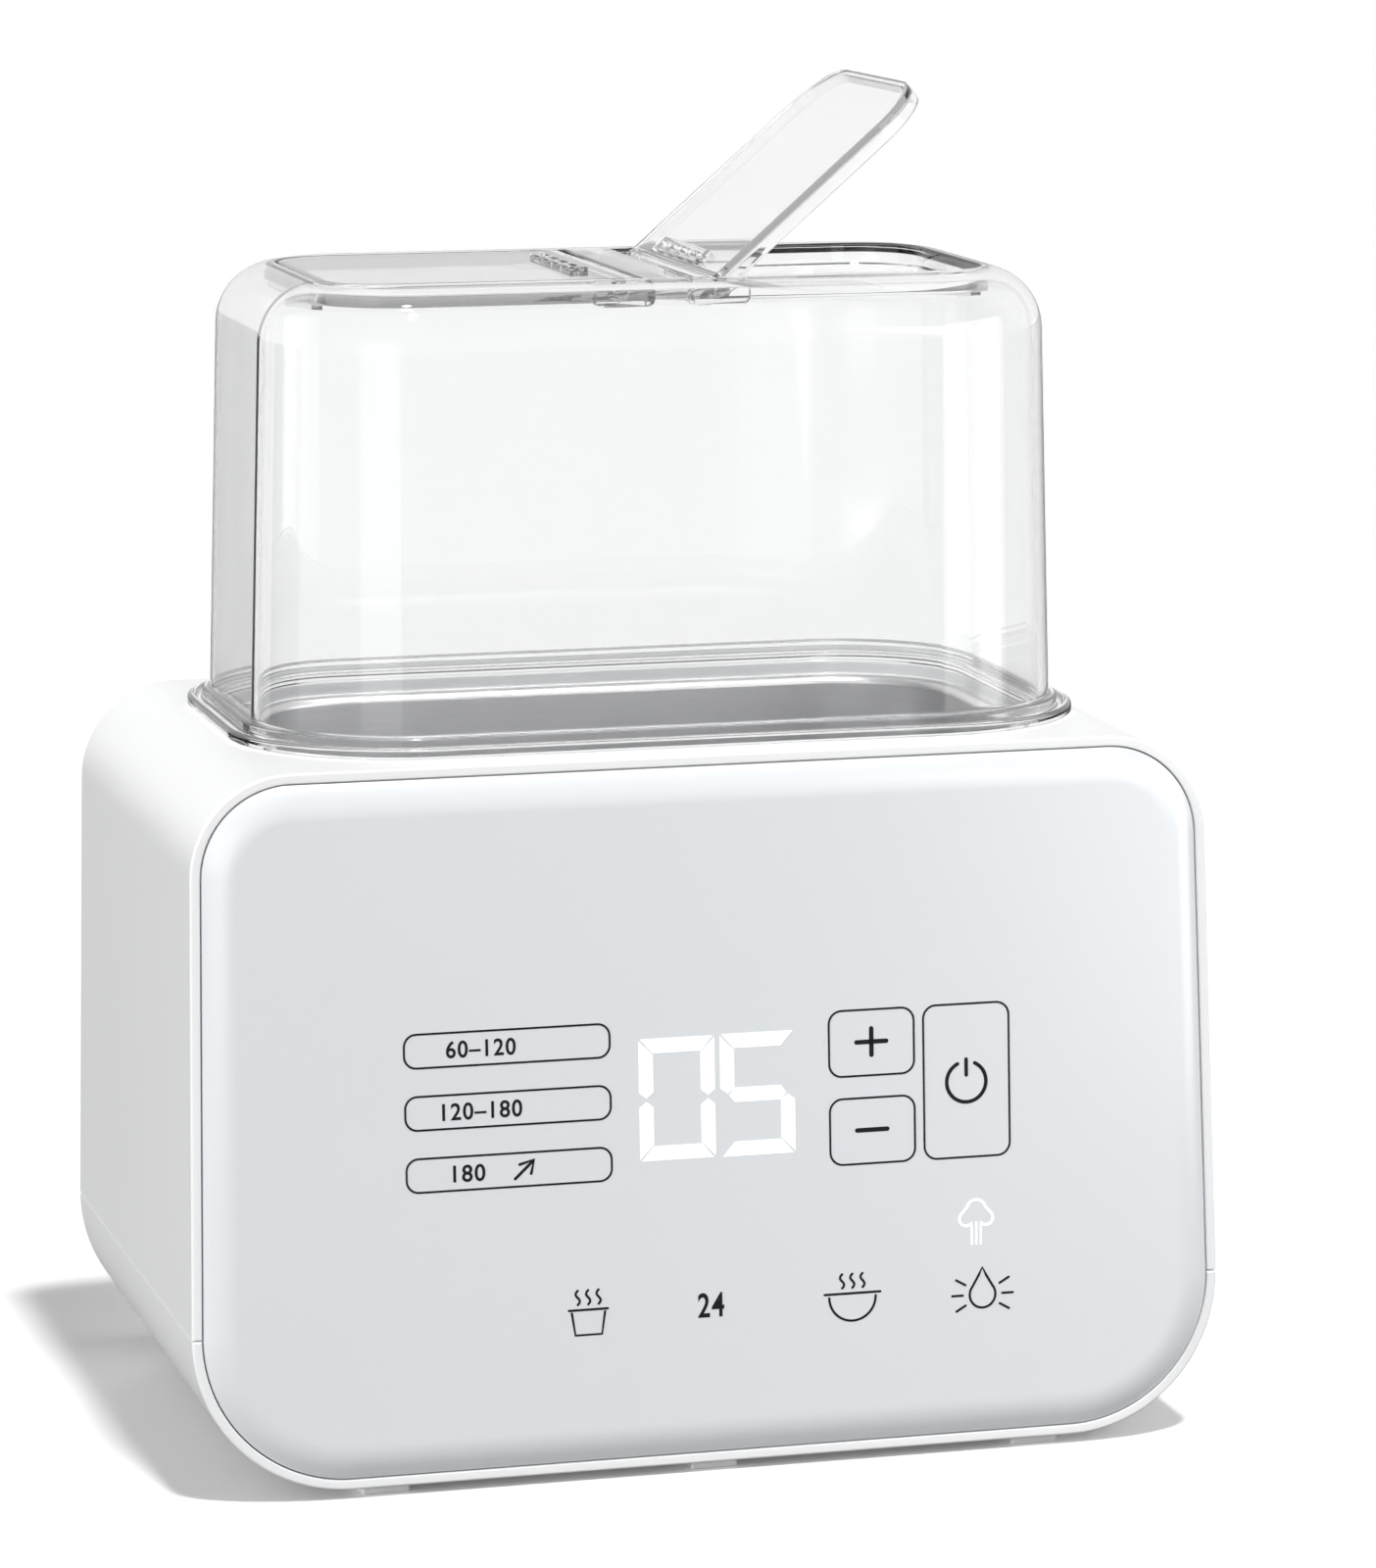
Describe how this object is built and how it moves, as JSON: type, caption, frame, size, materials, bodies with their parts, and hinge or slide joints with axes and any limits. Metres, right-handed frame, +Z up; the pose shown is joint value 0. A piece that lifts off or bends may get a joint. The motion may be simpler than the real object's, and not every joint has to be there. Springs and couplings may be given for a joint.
{
  "type": "bottle sterilizer",
  "caption": "Countertop steam sterilizer: rounded casing with a leaning touch panel, a heated steel tank, and a clear lift-off hood whose roof has hinged flaps.",
  "frame": {"origin": "middle of the footprint, on the plane the feet stand on", "axes": "+X to the user's right, +Y to the rear, +Z up; the control panel faces -Y"},
  "size_m": [0.2186, 0.1364, 0.2817],
  "materials": {
    "casing": "satin white moulding",
    "foot_pad": "matt pale rubber",
    "screw_steel": "zinc plated",
    "panel": "gloss pale grey",
    "frame": "matt white moulding",
    "circuit_board": "green solder mask",
    "dark_plastic": "matt black",
    "spring_brass": "bright",
    "tank_steel": "satin sheet steel",
    "gasket": "translucent silicone",
    "cast_aluminium": "as cast",
    "element_steel": "heat tinted",
    "ceramic": "matt ceramic",
    "transformer_iron": "varnished core",
    "terminal_green": "matt",
    "lead_sheath": "silicone sleeve",
    "ribbon_grey": "satin",
    "gland_rubber": "matt black",
    "tray_plastic": "satin",
    "clear_plastic": "clear moulding"
  },
  "bodies": {
    "base": {"upper_casing": "casing", "bottom_cover": "casing", "feet": "foot_pad", "casing_screws": "screw_steel", "front_panel": "panel", "panel_frame": "frame", "control_board": "circuit_board", "display_module": "dark_plastic", "touch_springs": "spring_brass", "buzzer": "dark_plastic", "tank": "tank_steel", "tank_gasket": "gasket", "heating_plate": "cast_aluminium", "heating_element": "element_steel", "plate_nuts": "screw_steel", "thermostat": "dark_plastic", "thermal_fuse": "ceramic", "temperature_sensor": "spring_brass", "power_board": "circuit_board", "transformer": "transformer_iron", "relay": "dark_plastic", "capacitor": "dark_plastic", "terminal_blocks": "terminal_green", "heater_leads": "lead_sheath", "ribbon_cable": "ribbon_grey", "board_screws": "screw_steel", "cord_gland": "gland_rubber"},
    "hood": {"hood": "clear_plastic"},
    "left_flap": {"left_flap": "clear_plastic"},
    "right_flap": {"right_flap": "clear_plastic"},
    "tray": {"lift_tray": "tray_plastic"}
  },
  "joints": [
    {"name": "hood_lift", "type": "slide", "parent": "base", "child": "hood", "axis": [0, 0, 1], "range_m": [0, 0.12]},
    {"name": "left_flap_hinge", "type": "hinge", "parent": "hood", "child": "left_flap", "pos_m": [-0.0108, 0.00461, 0.2406], "axis": [0, 1, 0], "range_deg": [0, 90]},
    {"name": "right_flap_hinge", "type": "hinge", "parent": "hood", "child": "right_flap", "pos_m": [0.0108, 0.00461, 0.2406], "axis": [0, -1, 0], "range_deg": [-41, 49]},
    {"name": "tray_lift", "type": "slide", "parent": "base", "child": "tray", "axis": [0, 0, 1], "range_m": [0, 0.085]}
  ]
}
